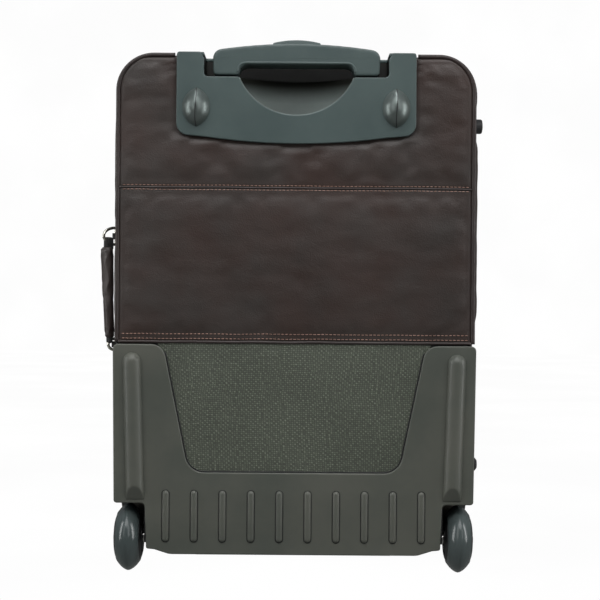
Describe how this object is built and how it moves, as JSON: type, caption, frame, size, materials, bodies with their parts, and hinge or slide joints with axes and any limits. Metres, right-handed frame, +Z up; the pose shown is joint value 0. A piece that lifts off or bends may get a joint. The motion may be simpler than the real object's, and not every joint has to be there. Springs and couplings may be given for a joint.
{
  "type": "rolling flight case",
  "caption": "Two-wheeled flight crew case in leather, with a telescopic handle, a moulded corner guard, a zipped side-hinged lid and carry handles.",
  "frame": {"origin": "on the floor below the middle of the case", "axes": "+Z up, -Y towards the back with the wheels and telescopic handle, +Y towards the lid, +X to the right seen from behind"},
  "size_m": [0.3901, 0.2334, 0.538],
  "materials": {
    "brown_leather": "soft sheen, fine grain",
    "woven_mesh": "basket weave",
    "lining_cloth": "plain satin cloth",
    "zip_tape": "woven tape",
    "grey_plastic": "fine texture, satin",
    "guard_plastic": "fine texture, satin",
    "black_plastic": "fine texture",
    "board": "moulded sheet",
    "urethane": "polished",
    "tube_aluminium": "anodised",
    "bright_steel": "plated",
    "axle_steel": "turned",
    "zip_metal": "dark plated"
  },
  "bodies": {
    "case": {"frame_hoop": "board", "back_board": "board", "back_leather_upper": "brown_leather", "back_leather_middle": "brown_leather", "mesh_panel": "woven_mesh", "gusset_leather": "brown_leather", "back_piping": "brown_leather", "lining_walls": "lining_cloth", "lining_back": "lining_cloth", "handle_plate": "grey_plastic", "handle_well": "black_plastic", "plate_bumpers": "grey_plastic", "corner_guard": "guard_plastic", "skid_bars": "guard_plastic", "guard_rivets": "axle_steel", "wheel_housings": "black_plastic", "wheel_axles": "axle_steel", "wheel_bearings": "axle_steel", "outer_tubes": "tube_aluminium", "outer_collars": "black_plastic", "tube_base": "black_plastic", "front_feet": "black_plastic", "side_studs": "black_plastic", "side_handle_anchors": "black_plastic", "top_handle_anchors": "black_plastic", "zip_tape_case": "zip_tape", "hinge_strip": "brown_leather"},
    "middle_stage": {"middle_tubes": "tube_aluminium", "middle_collars": "black_plastic"},
    "grip": {"inner_tubes": "tube_aluminium", "tube_plugs": "black_plastic", "grip_body": "grey_plastic", "grip_cover": "grey_plastic", "grip_screws": "axle_steel", "button_springs": "axle_steel"},
    "button": {"release_button": "grey_plastic", "release_bar": "black_plastic", "push_rods": "axle_steel"},
    "wheel_left": {"tyre_left": "urethane", "hub_left": "black_plastic"},
    "wheel_right": {"tyre_right": "urethane", "hub_right": "black_plastic"},
    "lid": {"lid_board": "board", "lid_leather": "brown_leather", "front_piping": "brown_leather", "zip_tape_lid": "zip_tape", "large_pocket": "brown_leather", "small_pocket": "brown_leather", "pocket_zip": "zip_tape"},
    "main_slider_left": {"main_slider_left": "zip_metal"},
    "main_pull_left": {"main_pull_left": "zip_metal"},
    "main_slider_right": {"main_slider_right": "zip_metal"},
    "main_pull_right": {"main_pull_right": "zip_metal"},
    "pocket_slider": {"pocket_slider": "zip_metal"},
    "pocket_pull": {"pocket_pull": "zip_metal"},
    "side_handle": {"side_handle_grip": "brown_leather", "side_handle_rings": "bright_steel"},
    "top_handle": {"top_handle_grip": "brown_leather", "top_handle_rings": "bright_steel"}
  },
  "joints": [
    {"name": "middle_slide", "type": "slide", "parent": "case", "child": "middle_stage", "axis": [0, 0, 1], "range_m": [0, 0.24]},
    {"name": "grip_slide", "type": "slide", "parent": "middle_stage", "child": "grip", "axis": [0, 0, 1], "range_m": [0, 0.24]},
    {"name": "button_press", "type": "slide", "parent": "grip", "child": "button", "axis": [0, 0, -1], "range_m": [0, 0.004], "stiffness_N_per_m": 700, "springref_m": -0.004, "deforming": ["button_springs"]},
    {"name": "wheel_left_spin", "type": "hinge", "parent": "case", "child": "wheel_left", "pos_m": [-0.167, -0.0805, 0.034], "axis": [1, 0, 0], "continuous": true},
    {"name": "wheel_right_spin", "type": "hinge", "parent": "case", "child": "wheel_right", "pos_m": [0.167, -0.0805, 0.034], "axis": [1, 0, 0], "continuous": true},
    {"name": "lid_hinge", "type": "hinge", "parent": "case", "child": "lid", "pos_m": [0.179, 0.0605, 0.27], "axis": [0, 0, -1], "range_deg": [0, 140]},
    {"name": "side_handle_swing", "type": "hinge", "parent": "case", "child": "side_handle", "pos_m": [-0.184, -0.072, 0.285], "axis": [0, 0, -1], "range_deg": [-20, 120]},
    {"name": "top_handle_lift", "type": "hinge", "parent": "case", "child": "top_handle", "pos_m": [0, 0, 0.527], "axis": [1, 0, 0], "range_deg": [0, 170]},
    {"name": "main_slider_left_run", "type": "slide", "parent": "case", "child": "main_slider_left", "axis": [-1, 0, 0], "range_m": [0, 0.115]},
    {"name": "main_pull_left_flip", "type": "hinge", "parent": "main_slider_left", "child": "main_pull_left", "pos_m": [-0.014, 0.0585, 0.526], "axis": [-1, 0, 0], "range_deg": [0, 160]},
    {"name": "main_slider_right_run", "type": "slide", "parent": "case", "child": "main_slider_right", "axis": [1, 0, 0], "range_m": [0, 0.115]},
    {"name": "main_pull_right_flip", "type": "hinge", "parent": "main_slider_right", "child": "main_pull_right", "pos_m": [0.014, 0.0585, 0.526], "axis": [-1, 0, 0], "range_deg": [0, 160]},
    {"name": "pocket_slider_run", "type": "slide", "parent": "lid", "child": "pocket_slider", "axis": [1, 0, 0], "range_m": [0, 0.24]},
    {"name": "pocket_pull_flip", "type": "hinge", "parent": "pocket_slider", "child": "pocket_pull", "pos_m": [-0.12, 0.1132, 0.302], "axis": [1, 0, 0], "range_deg": [0, 150]}
  ]
}
